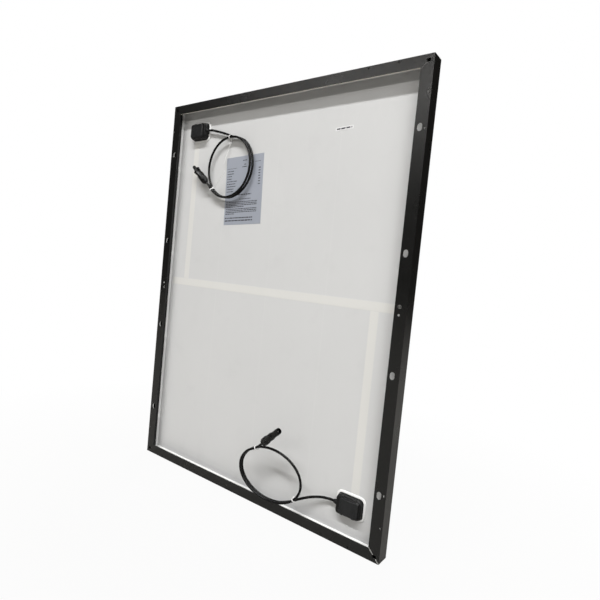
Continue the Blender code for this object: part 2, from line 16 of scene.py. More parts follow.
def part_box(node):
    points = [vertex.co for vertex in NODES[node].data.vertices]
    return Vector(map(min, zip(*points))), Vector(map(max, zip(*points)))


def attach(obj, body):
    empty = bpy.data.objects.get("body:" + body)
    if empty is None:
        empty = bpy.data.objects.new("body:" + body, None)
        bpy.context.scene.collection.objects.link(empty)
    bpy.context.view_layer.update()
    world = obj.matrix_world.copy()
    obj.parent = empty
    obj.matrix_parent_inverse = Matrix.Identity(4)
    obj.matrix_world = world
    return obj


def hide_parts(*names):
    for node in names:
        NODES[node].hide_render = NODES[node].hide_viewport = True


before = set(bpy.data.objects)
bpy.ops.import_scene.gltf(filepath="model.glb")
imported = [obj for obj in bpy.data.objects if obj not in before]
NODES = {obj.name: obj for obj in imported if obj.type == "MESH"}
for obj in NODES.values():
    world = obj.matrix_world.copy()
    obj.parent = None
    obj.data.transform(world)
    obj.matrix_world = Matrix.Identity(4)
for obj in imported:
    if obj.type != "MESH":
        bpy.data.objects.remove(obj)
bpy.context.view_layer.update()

# Sizes and places worked out from the CAD boxes
RAIL_LOW, RAIL_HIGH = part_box("frame_rail_right")
RAIL_BACK = RAIL_LOW.y
HALF_WIDTH = RAIL_HIGH.x
HEIGHT = RAIL_HIGH.z
SHEET_LOW, SHEET_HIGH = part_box("backsheet")
STRIP_BOXES = {name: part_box(name) for name in
               ("middle_insulating_strip", "left_insulating_strip", "right_insulating_strip")}
CELL_STRINGS = sorted(name for name in NODES if name.startswith("cell_string"))

# The leads, as in the CAD source
CABLE_RADIUS = 0.0027
TURN_PITCH = 0.0058
LOOPS = {
    "upper": {
        "centre": (-0.1433, 0.755), "half": (0.0707, 0.072), "depth": 0.002, "drift": 0.0032,
        "tilt": (0.0, 0.0), "joins": 80.0, "leaves": 226.8 - 720.0,
    },
    "lower": {
        "centre": (0.0881, 0.0843), "half": (0.0785, 0.0575), "depth": -0.0223, "drift": 0.0,
        "tilt": (0.07, -0.08), "joins": -50.0, "leaves": 117.7 - 720.0,
    },
}
LEADS = {
    "upper": [(-0.2277, 0.0, 0.8515), (-0.215, 0.0, 0.8502), (-0.2, 0.0002, 0.8465),
              (-0.183, 0.0008, 0.842), (-0.165, 0.0014, 0.8366), (-0.148, 0.0018, 0.8302)],
    "lower": [(0.2347, 0.0, 0.0737), (0.222, -0.0006, 0.0731), (0.205, -0.0028, 0.0706),
              (0.186, -0.0066, 0.065), (0.169, -0.0108, 0.0575), (0.153, -0.0143, 0.0487)],
}
TAILS = {
    "upper": [(-0.2018, -0.0086, 0.7124), (-0.2104, -0.0098, 0.7195)],
    "lower": [(0.06, -0.0379, 0.1412), (0.0691, -0.0385, 0.15)],
}
PLUG_AXES = {"upper": (-0.78, 0.0, 0.626), "lower": (0.74, -0.15, 0.655)}
TIE_ANGLES = {"upper": (93.5, 226.8), "lower": (-37.0, 117.7)}
# Each tie's free tail: heading, bend and length. The lower ties are cut short
STRAIGHT = (0.0, 0.0, 0.0)
TIE_TAILS = {
    "upper": (((-0.31, -0.03, -0.94), (0.03, -0.02, 0.0), 0.062),
              ((0.87, -0.05, 0.49), (-0.2, 0.0, 0.22), 0.055)),
    "lower": (((0.0, -0.6, 0.8), STRAIGHT, 0.0022), ((0.3, -0.8, -0.5), STRAIGHT, 0.0022)),
}
# Where the seal ring sits along each connector, and its radius, in millimetres
SEAL_RINGS = {"upper": (55.6, 4.7), "lower": (39.6, 7.0)}
JOINT_GAP = 0.0003

MM = 0.001
SHINGLES = 17
SHINGLE_WIDTH = 0.02646

# The boxes' centres in X and Z, and the side that each lead leaves on
BOXES = {"upper": ((-0.2625, 0.8515), 1), "lower": ((0.2695, 0.0737), -1)}


# ---- camera, floor and light

def placed(name, data):
    """A new object, linked to the scene."""
    obj = bpy.data.objects.new(name, data)
    bpy.context.scene.collection.objects.link(obj)
    return obj


def make_camera():
    data = bpy.data.cameras.new("camera")
    data.lens = 27.634
    data.sensor_width = 36.0
    camera = placed("camera", data)
    camera.location = (0.6775, -0.7886, 0.5135)
    camera.rotation_euler = [math.radians(a) for a in (86.9581, -5.6286, 36.3801)]
    bpy.context.scene.camera = camera


def soft_light(name, place, aim, size, power, tint=(1.0, 1.0, 1.0)):
    data = bpy.data.lights.new(name, "AREA")
    data.shape = "RECTANGLE"
    data.size, data.size_y = size
    data.energy = power
    data.color = tint
    light = placed(name, data)
    light.location = place
    light.rotation_euler = (Vector(aim) - Vector(place)).to_track_quat("-Z", "Y").to_euler()


def make_studio():
    """A white room: the world is seen as white but lights the panel only a little."""
    bpy.context.scene.view_settings.view_transform = "Standard"
    world = bpy.data.worlds.new("studio")
    world.use_nodes = True
    bpy.context.scene.world = world
    nodes, links = world.node_tree.nodes, world.node_tree.links
    nodes.clear()
    seen = nodes.new("ShaderNodeBackground")
    seen.inputs["Color"].default_value = (1.0, 1.0, 1.0, 1.0)
    felt = nodes.new("ShaderNodeBackground")
    felt.inputs["Color"].default_value = (1.0, 0.94, 0.85, 1.0)
    felt.inputs["Strength"].default_value = 0.035
    ray = nodes.new("ShaderNodeLightPath")
    either = nodes.new("ShaderNodeMixShader")
    out = nodes.new("ShaderNodeOutputWorld")
    links.new(ray.outputs["Is Camera Ray"], either.inputs[0])
    links.new(felt.outputs[0], either.inputs[1])
    links.new(seen.outputs[0], either.inputs[2])
    links.new(either.outputs[0], out.inputs[0])

    soft_light("upper_tubes", (2.4, -6.6, 10.7), (2.4, 0.0, 0.9), (14.0, 0.75), 1700.0)
    soft_light("far_tubes", (0.2, -9.0, 4.96), (0.2, 0.0, 0.9), (16.8, 0.4), 232.0, (1.0, 0.98, 0.95))
    soft_light("side_window", (4.2, -2.4, 2.6), (0.0, 0.0, 0.5), (2.0, 1.5), 56.0)
    soft_light("front_fill", (-0.9, 2.3, 1.9), (0.0, 0.0, 0.45), (1.8, 1.2), 62.0)


def make_floor():
    """A pale floor that shows only a trace of shadow and turns into the white of the room further out."""
    shape = bmesh.new()
    bmesh.ops.create_circle(shape, cap_ends=True, radius=6.0, segments=96)
    mesh = bpy.data.meshes.new("floor")
    shape.to_mesh(mesh)
    shape.free()
    floor = placed("floor", mesh)
    floor.location.z = -0.0005

    made = Finish("pale_floor", (0.34, 0.33, 0.31), 0.8)
    made.colour(made.mix(made.noise(90.0, 3.0), (0.36, 0.35, 0.33), (0.32, 0.31, 0.29)))
    away = made.add("ShaderNodeVectorMath", {0: made.place()}, out="Value", operation="LENGTH")
    seen = made.add("ShaderNodeLightPath", {}, out="Is Camera Ray")
    share = made.math("MULTIPLY", seen, made.span(away, 0.4, 1.1, 0.95, 1.0))
    made.blend(share, made.shader.outputs[0], made.add("ShaderNodeEmission", {}))
    mesh.materials.append(made.material)


# ---- materials

class Finish:
    """A node material: each call adds nodes and gives back the socket to use next."""

    def __init__(self, name, colour, roughness, metallic=0.0):
        self.material = bpy.data.materials.new(name)
        self.material.use_nodes = True
        self.material.diffuse_color = (*colour, 1.0)
        self.tree = self.material.node_tree
        self.shader = self.tree.nodes["Principled BSDF"]
        self.shader.inputs["Base Color"].default_value = (*colour, 1.0)
        self.shader.inputs["Roughness"].default_value = roughness
        self.shader.inputs["Metallic"].default_value = metallic
        self.normal = None

    def add(self, kind, inputs, out=0, **settings):
        node = self.tree.nodes.new(kind)
        for key, value in settings.items():
            setattr(node, key, value)
        for key, value in inputs.items():
            if isinstance(value, bpy.types.NodeSocket):
                self.tree.links.new(value, node.inputs[key])
            else:
                if isinstance(value, tuple) and len(value) == 3 and node.inputs[key].type == "RGBA":
                    value = (*value, 1.0)
                node.inputs[key].default_value = value
        return node.outputs[out]

    def place(self, stretch=(1.0, 1.0, 1.0)):
        """The position in the row frame, with each axis multiplied by stretch."""
        here = self.add("ShaderNodeTexCoord", {}, out="Object")
        if stretch == (1.0, 1.0, 1.0):
            return here
        return self.add("ShaderNodeVectorMath", {0: here, 1: stretch}, operation="MULTIPLY")

    def axis(self, name):
        return self.add("ShaderNodeSeparateXYZ", {0: self.place()}, out=name)

    def noise(self, scale, detail=2.0, stretch=(1.0, 1.0, 1.0), rough=0.5):
        return self.add("ShaderNodeTexNoise", {"Vector": self.place(stretch), "Scale": scale,
                                               "Detail": detail, "Roughness": rough})

    def span(self, value, low, high, to_low=0.0, to_high=1.0, smooth=False):
        """value from low..high to to_low..to_high, and no further."""
        kind = "SMOOTHSTEP" if smooth else "LINEAR"
        return self.add("ShaderNodeMapRange", {"Value": value, "From Min": low, "From Max": high,
                                               "To Min": to_low, "To Max": to_high},
                        interpolation_type=kind)

    def math(self, operation, a, b=0.0):
        return self.add("ShaderNodeMath", {0: a, 1: b}, operation=operation)

    def mix(self, share, a, b):
        """Colour a where share is 0 and b where it is 1."""
        return self.add("ShaderNodeMix", {0: share, 6: a, 7: b}, out=2, data_type="RGBA")

    def blend(self, share, first, second):
        """Makes the surface a mixture of two shaders."""
        both = self.tree.nodes.new("ShaderNodeMixShader")
        for value, socket in zip((share, first, second), both.inputs):
            self.tree.links.new(value, socket)
        self.tree.links.new(both.outputs[0], self.tree.nodes["Material Output"].inputs[0])

    def colour(self, socket):
        self.tree.links.new(socket, self.shader.inputs["Base Color"])

    def roughness(self, socket):
        self.tree.links.new(socket, self.shader.inputs["Roughness"])

    def metallic(self, socket):
        self.tree.links.new(socket, self.shader.inputs["Metallic"])

    def bump(self, height, depth):
        """Relief of that depth in metres, on top of any that is there already."""
        inputs = {"Height": height, "Distance": depth, "Strength": 1.0}
        if self.normal is not None:
            inputs["Normal"] = self.normal
        self.normal = self.add("ShaderNodeBump", inputs)
        self.tree.links.new(self.normal, self.shader.inputs["Normal"])


def black_anodised(name, stretch):
    """Satin black aluminium, with drawn lines along the rail and bare metal along the sawn mitres."""
    made = Finish(name, (0.004, 0.004, 0.004), 0.28)
    made.shader.inputs["Specular IOR Level"].default_value = 0.58
    lines = made.noise(1.0, 3.0, stretch=stretch)
    dust = made.noise(220.0, 4.0)
    cloud = made.noise(9.0)
    base = made.mix(lines, (0.0028, 0.0029, 0.0027), (0.0055, 0.0056, 0.0053))
    specks = made.span(dust, 0.66, 0.76, 0.0, 0.3)
    base = made.mix(specks, base, (0.05, 0.05, 0.047))

    across = made.math("SUBTRACT", HALF_WIDTH, made.math("ABSOLUTE", made.axis("X")))
    level = made.axis("Z")
    upright = made.math("MINIMUM", level, made.math("SUBTRACT", HEIGHT, level))
    off_mitre = made.math("ABSOLUTE", made.math("SUBTRACT", across, upright))
    ragged = made.span(made.noise(260.0, 3.0), 0.35, 0.75, 0.0005, 0.0016)
    right = made.span(made.axis("X"), 0.3, 0.32)
    rubbed = made.math("MULTIPLY", right, made.span(level, 0.03, 0.04, 1.0, 0.12))
    bare = made.math("MULTIPLY", made.math("LESS_THAN", off_mitre, ragged), rubbed)
    made.colour(made.mix(bare, base, (0.8, 0.8, 0.78)))
    made.metallic(made.math("MULTIPLY", bare, 0.6))
    made.roughness(made.span(cloud, 0.3, 0.7, 0.25, 0.32))
    made.bump(lines, 0.00004)
    made.bump(made.noise(1500.0), 0.00002)
    return made.material


def brushed(name, colour, roughness, stretch, detail, tones, sheen, depth):
    """Metal with fine lines, which change its tone, its gloss and its relief."""
    made = Finish(name, colour, roughness, 1.0)
    lines = made.noise(1.0, detail, stretch=stretch)
    made.colour(made.mix(lines, *tones))
    made.roughness(made.span(lines, 0.2, 0.8, *sheen))
    made.bump(lines, depth)
    return made.material


def bare_aluminium():
    return brushed("bare_aluminium", (0.62, 0.63, 0.64), 0.38, (300.0, 300.0, 1800.0), 3.0,
                   ((0.55, 0.56, 0.57), (0.68, 0.69, 0.7)), (0.3, 0.46), 0.00003)


def tinned_ribbon():
    return brushed("tinned_ribbon", (0.7, 0.68, 0.64), 0.32, (60.0, 900.0, 900.0), 3.0,
                   ((0.6, 0.59, 0.56), (0.78, 0.76, 0.73)), (0.24, 0.42), 0.00004)


def copper(name, colour):
    return brushed(name, colour, 0.34, (1500.0, 200.0, 1500.0), 4.0,
                   (tuple(c * 0.82 for c in colour), colour), (0.26, 0.44), 0.00002)


# Colour, roughness, metallic; scale and detail of the clouds, and the two tones they mix; scale and
# depth of the relief
PLAIN_FINISHES = {
    "bright_cut_edge": ((0.86, 0.86, 0.85), 0.38, 0.7,
        (600.0, 3.0), (0.8, 0.8, 0.79), (0.93, 0.93, 0.92), 1600.0, 0.00001),
    # A painted highlight: the pale matt strip along the top flange's inner edge
    "painted_edge_highlight": ((0.95, 0.91, 0.8), 0.6, 0.0,
        (500.0, 3.0), (0.93, 0.88, 0.76), (0.97, 0.94, 0.84), 1400.0, 0.00001),
    "etched_metal": ((0.34, 0.34, 0.33), 0.5, 0.0,
        (900.0, 3.0), (0.28, 0.28, 0.27), (0.42, 0.42, 0.41), 1800.0, 0.00001),
    "edge_tape": ((0.06, 0.06, 0.06), 0.85, 0.0,
        (600.0, 4.0), (0.045, 0.045, 0.045), (0.1, 0.1, 0.1), 900.0, 0.00008),
    "rear_film": ((0.84, 0.85, 0.84), 0.45, 0.0,
        (24.0, 3.0), (0.86, 0.87, 0.86), (0.8, 0.81, 0.8), 400.0, 0.00002),
    "cream_strip": ((0.83, 0.8, 0.74), 0.55, 0.0,
        (40.0, 4.0), (0.85, 0.82, 0.76), (0.79, 0.76, 0.7), 500.0, 0.00002),
    "white_nylon": ((0.84, 0.84, 0.82), 0.4, 0.0,
        (160.0, 3.0), (0.95, 0.95, 0.94), (0.91, 0.91, 0.9), 1200.0, 0.00002),
    "printed_ink": ((0.05, 0.05, 0.06), 0.55, 0.0,
        (700.0, 3.0), (0.035, 0.037, 0.045), (0.07, 0.073, 0.085), 1500.0, 0.000005),
}


def plain_finish(name):
    colour, roughness, metallic, clouds, first, second, grain, depth = PLAIN_FINISHES[name]
    made = Finish(name, colour, roughness, metallic)
    made.colour(made.mix(made.noise(*clouds), first, second))
    made.bump(made.noise(grain), depth)
    return made.material


def white_silicone():
    made = Finish("white_silicone", (0.86, 0.86, 0.84), 0.42)
    smear = made.noise(70.0, 4.0)
    made.colour(made.mix(smear, (0.96, 0.96, 0.95), (0.92, 0.92, 0.91)))
    made.roughness(made.span(smear, 0.3, 0.7, 0.36, 0.55))
    made.bump(made.noise(240.0, 3.0), 0.00025)
    return made.material


def clear_glass():
    """Low-iron glass: it lets light straight through, and mirrors more at a slant."""
    made = Finish("front_glass", (0.9, 0.95, 0.94), 0.05)
    through = made.add("ShaderNodeBsdfTransparent", {"Color": (0.965, 0.985, 0.978)})
    ripple = made.add("ShaderNodeBump", {"Height": made.noise(700.0), "Distance": 0.000012})
    gloss = made.add("ShaderNodeBsdfGlossy", {"Roughness": 0.09, "Normal": ripple})
    made.blend(made.add("ShaderNodeFresnel", {"IOR": 1.4}), through, gloss)
    made.tree.nodes.remove(made.shader)
    return made.material


def clear_film():
    """Cured encapsulant: nearly invisible, with a faint milky cloud."""
    made = Finish("front_film", (0.86, 0.88, 0.86), 0.3)
    through = made.add("ShaderNodeBsdfTransparent", {"Color": (0.985, 0.99, 0.985)})
    made.colour(made.mix(made.noise(14.0), (0.86, 0.88, 0.86), (0.8, 0.83, 0.8)))
    milk = made.span(made.noise(30.0, 3.0), 0.2, 0.8, 0.01, 0.035)
    made.blend(milk, through, made.shader.outputs[0])
    return made.material


def solar_cell(shingle_pitch, first_edge):
    """Dark monocrystalline silicon with fine silver fingers across each shingle."""
    made = Finish("solar_cell", (0.01, 0.014, 0.03), 0.22)
    made.shader.inputs["Coat Weight"].default_value = 0.3
    x, z = made.axis("X"), made.axis("Z")
    row = made.math("FLOOR", made.math("DIVIDE", made.math("SUBTRACT", z, first_edge), shingle_pitch))
    column = made.math("FLOOR", made.math("DIVIDE", x, 0.16075))
    seed = made.add("ShaderNodeCombineXYZ", {0: row, 1: column, 2: 3.0})
    tone = made.add("ShaderNodeTexWhiteNoise", {"Vector": seed}, out="Value", noise_dimensions="3D")
    blue = made.mix(tone, (0.007, 0.01, 0.024), (0.013, 0.018, 0.038))
    cloud = made.noise(55.0, 5.0)
    blue = made.mix(made.span(cloud, 0.35, 0.75, 0.0, 0.5), blue, (0.016, 0.02, 0.034))
    finger = made.math("LESS_THAN", made.math("FRACT", made.math("DIVIDE", x, 0.0016)), 0.045)
    made.colour(made.mix(finger, blue, (0.42, 0.44, 0.46)))
    made.metallic(made.math("MULTIPLY", finger, 0.6))
    made.roughness(made.span(cloud, 0.2, 0.8, 0.18, 0.3))
    return made.material


def band_mask(made, node, soft):
    """1 over a node's own stretch of the sheet and 0 beyond it, with a soft edge."""
    low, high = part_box(node)
    result = None
    for axis, start, end in (("X", low.x, high.x), ("Z", low.z, high.z)):
        here = made.axis(axis)
        rises = made.span(here, start - soft, start + soft, smooth=True)
        falls = made.span(here, end - soft, end + soft, 1.0, 0.0, smooth=True)
        both = made.math("MULTIPLY", rises, falls)
        result = both if result is None else made.math("MULTIPLY", result, both)
    return result


def white_backsheet():
    """Satin white polymer film; the cream strips under it show through as paler, warmer bands."""
    made = Finish("white_backsheet", (0.8, 0.8, 0.79), 0.46)
    cloud = made.noise(5.0, 4.0)
    base = made.mix(cloud, (0.7, 0.702, 0.699), (0.738, 0.739, 0.733))
    smudge = made.span(made.noise(16.0, 5.0, rough=0.62), 0.56, 0.74, 0.0, 0.35)
    base = made.mix(smudge, base, (0.64, 0.64, 0.636))
    for string in CELL_STRINGS:
        shade = made.math("MULTIPLY", band_mask(made, string, 0.0016), 0.3)
        base = made.mix(shade, base, (0.664, 0.667, 0.665))
    for strip in STRIP_BOXES:
        base = made.mix(made.math("MULTIPLY", band_mask(made, strip, 0.0018), 0.75), base,
                        (0.8, 0.791, 0.755))
    made.colour(base)
    made.roughness(made.span(cloud, 0.3, 0.7, 0.4, 0.54))
    made.bump(made.noise(1.0, 3.0, stretch=(24.0, 24.0, 7.0)), 0.0012)
    made.bump(made.noise(2600.0), 0.000012)
    return made.material


def black_plastic(name, tone, roughness, grain, depth, painted_light_from=None):
    """Moulded black plastic, grained and slightly dusty; further out than the given depth, the outer face is
    painted a lighter grey than the sides, as painted light.
    """
    made = Finish(name, (tone, tone, tone * 1.05), roughness)
    texture = made.noise(grain, detail=3.0)
    dust = made.noise(140.0, 5.0)
    base = made.mix(texture, (tone * 0.75, tone * 0.75, tone * 0.8), (tone * 1.3, tone * 1.3, tone * 1.35))
    base = made.mix(made.span(dust, 0.6, 0.78, 0.0, 0.3), base, (0.045, 0.045, 0.042))
    if painted_light_from is not None:
        # Painted light: the outer face is painted a lighter, dusty grey than the sides, as if it caught more
        # light.
        behind = made.span(made.axis("Y"), painted_light_from - 0.0002, painted_light_from + 0.0002, 1.0, 0.0)
        base = made.mix(behind, base, made.mix(dust, (0.009, 0.0095, 0.01), (0.023, 0.024, 0.025)))
    made.colour(base)
    made.shader.inputs["Specular IOR Level"].default_value = 0.34
    made.roughness(made.span(texture, 0.25, 0.75, roughness - 0.07, roughness + 0.08))
    made.bump(texture, depth)
    return made.material


def cable_sheath():
    made = Finish("cable_sheath", (0.006, 0.006, 0.006), 0.25)
    made.shader.inputs["Specular IOR Level"].default_value = 0.24
    scuff = made.noise(120.0, 5.0, rough=0.6)
    made.colour(made.mix(made.span(scuff, 0.55, 0.75), (0.003, 0.003, 0.0033), (0.008, 0.008, 0.008)))
    made.roughness(made.span(scuff, 0.3, 0.7, 0.2, 0.3))
    made.bump(made.noise(900.0), 0.00003)
    return made.material


def label_film(name, colour, metallic):
    made = Finish(name, colour, 0.36, metallic)
    grain = made.noise(1.0, 3.0, stretch=(260.0, 260.0, 2600.0))
    made.colour(made.mix(grain, tuple(c * 0.95 for c in colour), tuple(min(1, c * 1.04) for c in colour)))
    made.roughness(made.span(grain, 0.2, 0.8, 0.3, 0.44))
    made.bump(made.noise(30.0, 3.0), 0.0001)
    return made.material


# ---- shared shapes

def solid_mesh(name, solid):
    """A mesh of a solid's points and faces, which all look outwards."""
    points, faces = solid
    mesh = bpy.data.meshes.new(name)
    mesh.from_pydata([tuple(p) for p in points], [], faces)
    shape = bmesh.new()
    shape.from_mesh(mesh)
    bmesh.ops.recalc_face_normals(shape, faces=shape.faces)
    shape.to_mesh(mesh)
    shape.free()
    return mesh


def shade(mesh, crease):
    """Smooth shading, but for edges sharper than crease degrees."""
    mesh.shade_smooth()
    mesh.set_sharp_from_angle(angle=math.radians(crease))


def piece(name, solid, finish, body="panel", crease=35.0):
    """A new solid that rides on a body."""
    mesh = solid_mesh(name, solid)
    shade(mesh, crease)
    mesh.materials.append(finish)
    obj = placed(name, mesh)
    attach(obj, body)
    return obj


def skin(loops, closed_ring=False):
    """Points and faces that join loops of equal length, capped at both ends unless they form a ring."""
    count = len(loops[0])
    faces = []
    for i in range(len(loops) if closed_ring else len(loops) - 1):
        here, there = i * count, (i + 1) % len(loops) * count
        for j in range(count):
            k = (j + 1) % count
            faces.append((here + j, here + k, there + k, there + j))
    if not closed_ring:
        faces.append(tuple(range(count)))
        faces.append(tuple(range((len(loops) - 1) * count, len(loops) * count)))
    return [p for loop in loops for p in loop], faces


class Shell:
    """Points and faces of several closed lumps that make up one piece."""

    def __init__(self):
        self.solid = [], []

    def take(self, loops, closed_ring=False):
        points, faces = skin(loops, closed_ring)
        all_points, all_faces = self.solid
        first = len(all_points)
        all_points += points
        all_faces += [tuple(i + first for i in face) for face in faces]

    def block(self, place, low, high):
        """A box between two corners of a local frame; place turns a local point into a world one."""
        (x0, y0, z0), (x1, y1, z1) = low, high
        self.take([[place((x, y, z)) for y, z in ((y0, z0), (y1, z0), (y1, z1), (y0, z1))]
                   for x in (x0, x1)])


def bevelled(obj, width, segments=2, angle=40.0):
    change = obj.modifiers.new("edges", "BEVEL")
    change.width = width
    change.segments = segments
    change.limit_method = "ANGLE"
    change.angle_limit = math.radians(angle)
    return obj


def local_frame(x, y, z, side=1):
    """Turns a point of a local frame (sideways, out from the sheet, up) into one of the row frame."""
    return lambda p: Vector((x + side * p[0], y - p[1], z + side * p[2]))


def circle(radius, count):
    return [(radius * math.cos(math.tau * i / count), radius * math.sin(math.tau * i / count))
            for i in range(count)]


def rounded_rectangle(width, height, radius, steps=8):
    outline = []
    for quarter in range(4):
        corner_x = (width / 2 - radius) * (1 if quarter in (0, 3) else -1)
        corner_z = (height / 2 - radius) * (1 if quarter in (0, 1) else -1)
        for step in range(steps + 1):
            angle = math.radians(90 * (quarter + step / steps))
            outline.append((corner_x + radius * math.cos(angle), corner_z + radius * math.sin(angle)))
    return outline


def stadium(half_gap, radius, steps=8):
    outline = []
    for end in (0, 1):
        for step in range(steps + 1):
            angle = math.radians(-90 + 180 * (end + step / steps))
            outline.append(((half_gap, -half_gap)[end] + radius * math.cos(angle), radius * math.sin(angle)))
    return outline


def soften_node(name, width, finish):
    """A carried-over CAD node with its own finish and with small radii along its edges."""
    node = NODES[name]
    node.data.materials.clear()
    node.data.materials.append(finish)
    for polygon in node.data.polygons:
        polygon.material_index = 0
    if not width:
        return
    weld = node.modifiers.new("weld", "WELD")
    weld.merge_threshold = 0.000002
    flat = node.modifiers.new("flat_faces", "DECIMATE")
    flat.decimate_type = "DISSOLVE"
    flat.angle_limit = math.radians(0.5)
    bevelled(node, width)


# ---- frame and laminate

def earth_marks(finish):
    """A small earthing sign, a circle with three bars and a stem, beside the hole in each upright rail."""
    tall = 0.00004
    for side, x, z in (("left", -0.3355, 0.448), ("right", 0.3355, 0.475)):
        place = local_frame(x, RAIL_BACK, z)
        shell = Shell()
        rings = [[place((u, out, v)) for u, v in circle(radius, 32)]
                 for radius, out in ((0.0034, 0.0), (0.0034, tall), (0.0029, tall), (0.0029, 0.0))]
        shell.take(list(zip(*rings)), closed_ring=True)
        for level, half in ((0.0002, 0.002), (-0.0007, 0.0013), (-0.0016, 0.0006)):
            shell.block(place, (-half, 0.0, level - 0.0002), (half, tall, level + 0.0002))
        shell.block(place, (-0.0002, 0.0, 0.0004), (0.0002, tall, 0.0024))
        piece(f"{side}_earth_mark", shell.solid, finish)


def flange_holes():
    """An upright rail's holes: inset, level, radius, half the slot's straight part, steps, lining depth."""
    holes = [(0.0145, 0.0, 0.0021, 0.0, 12, 0.0015)]
    for end in (-1, 1):
        holes += [(0.014, end * (HEIGHT / 2 - far), 0.0045, 0.0025, 6, 0.0015) for far in (0.126, 0.349)]
        holes += [(0.0042, end * (HEIGHT / 2 - far), 0.0017, 0.0, 10, 0.0005) for far in (0.067, 0.129)]
    return holes


def cut_edges(finish):
    """The bare metal that punching leaves round the slots, the earth hole and the drain holes."""
    for side, sign in (("left", -1), ("right", 1)):
        shell = Shell()
        for inset, level, radius, half_gap, steps, deep in flange_holes():
            rings = []
            for grown, depth in ((-0.00009, deep), (-0.00009, 0.0003), (0.00028, -0.00003),
                                 (0.00028, 0.0), (-0.00003, 0.0004), (-0.00003, deep)):
                reach = radius + grown
                outline = stadium(half_gap, reach, steps) if half_gap else circle(reach, steps)
                rings.append([Vector((sign * (HALF_WIDTH - inset - v), RAIL_BACK + depth,
                                      HEIGHT / 2 + level + u)) for u, v in outline])
            shell.take(list(zip(*rings)), closed_ring=True)
        edges = piece(f"{side}_cut_edges", shell.solid, finish, crease=25.0)


def paint_flange_highlight(finish):
    """A pale matt strip along the top flange's inner edge: a painted highlight for the light that the edge
    catches off the white backsheet.
    """
    long_flange, short_flange = 0.024, 0.022
    shell = Shell()
    shell.block(Vector, (long_flange - HALF_WIDTH, RAIL_BACK + 0.0001, HEIGHT - short_flange - 0.00005),
                (HALF_WIDTH - long_flange, RAIL_BACK + 0.0014, HEIGHT - short_flange + 0.0001))
    piece("top_flange_painted_highlight", shell.solid, finish)


def dress_frame():
    along_x = black_anodised("black_anodised_across", (3.0, 900.0, 900.0))
    along_z = black_anodised("black_anodised_upright", (900.0, 900.0, 3.0))
    for side, finish in (("left", along_z), ("right", along_z), ("top", along_x), ("bottom", along_x)):
        soften_node(f"frame_rail_{side}", 0.0003, finish)
    metal = bare_aluminium()
    for level in ("bottom", "top"):
        for side in ("left", "right"):
            soften_node(f"corner_key_{level}_{side}", 0.0003, metal)
    soften_node("edge_seal", 0.0, plain_finish("edge_tape"))
    earth_marks(plain_finish("etched_metal"))
    cut_edges(plain_finish("bright_cut_edge"))
    # The pale strip along the top flange's inner edge is a painted highlight.
    paint_flange_highlight(plain_finish("painted_edge_highlight"))


def sealant_bead(finish):
    """A hand-run line of silicone in the corner between the frame and the backsheet."""
    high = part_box("rear_sealant_bead")[1]
    inset = HALF_WIDTH - high.x
    section = [(0.0, high.y), (0.0042, high.y), (0.004, high.y - 0.0006), (0.0032, high.y - 0.0011),
               (0.0022, high.y - 0.0016), (0.0013, high.y - 0.0022), (0.0006, high.y - 0.0028),
               (0.0, high.y - 0.0029)]
    draw = random.Random(11)
    corners = [(-1, 0), (1, 0), (1, 1), (-1, 1)]
    loops = []
    for i, (side, level) in enumerate(corners):
        next_side, next_level = corners[(i + 1) % 4]
        count = 30 if level == next_level else 40
        for step in range(count):
            share = step / count
            swell = 1.0 if step == 0 else 1.0 + draw.uniform(-0.1, 0.06)
            loop = []
            for u, y in section:
                u = inset + (u * swell if u > 0.002 else u)
                start = Vector((side * (HALF_WIDTH - u), y, u if level == 0 else HEIGHT - u))
                end = Vector((next_side * (HALF_WIDTH - u), y, u if next_level == 0 else HEIGHT - u))
                loop.append(start.lerp(end, share))
            loops.append(loop)
    bead = piece("sealant_bead", skin(loops, closed_ring=True), finish, crease=70.0)
    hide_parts("rear_sealant_bead")


def relief(x, z):
    """How far the backsheet stands out, in metres: the strips lift it, and it waves a little."""
    rise = 0.0
    for low, high in STRIP_BOXES.values():
        inside = min(x - low.x, high.x - x, z - low.z, high.z - z)
        rise = max(rise, min(1.0, max(0.0, inside / 0.0022 + 0.5)))
    wave = math.sin(x * 41.0 + 0.7) * math.sin(z * 23.0 + 1.3) + 0.6 * math.sin(x * 17.0 - z * 31.0)
    return 0.00011 * rise + 0.00003 * wave


def lines_between(low, high, pitch, marks, near):
    """Even grid lines from low to high, with closer ones on both sides of each mark."""
    count = round((high - low) / pitch)
    lines = {round(low + (high - low) * i / count, 6) for i in range(count + 1)}
    closer = [mark + offset for mark in marks for offset in near]
    lines |= {round(line, 6) for line in closer if low < line < high}
    kept = []
    for line in sorted(lines):
        if not kept or line - kept[-1] > 0.0002:
            kept.append(line)
    return kept


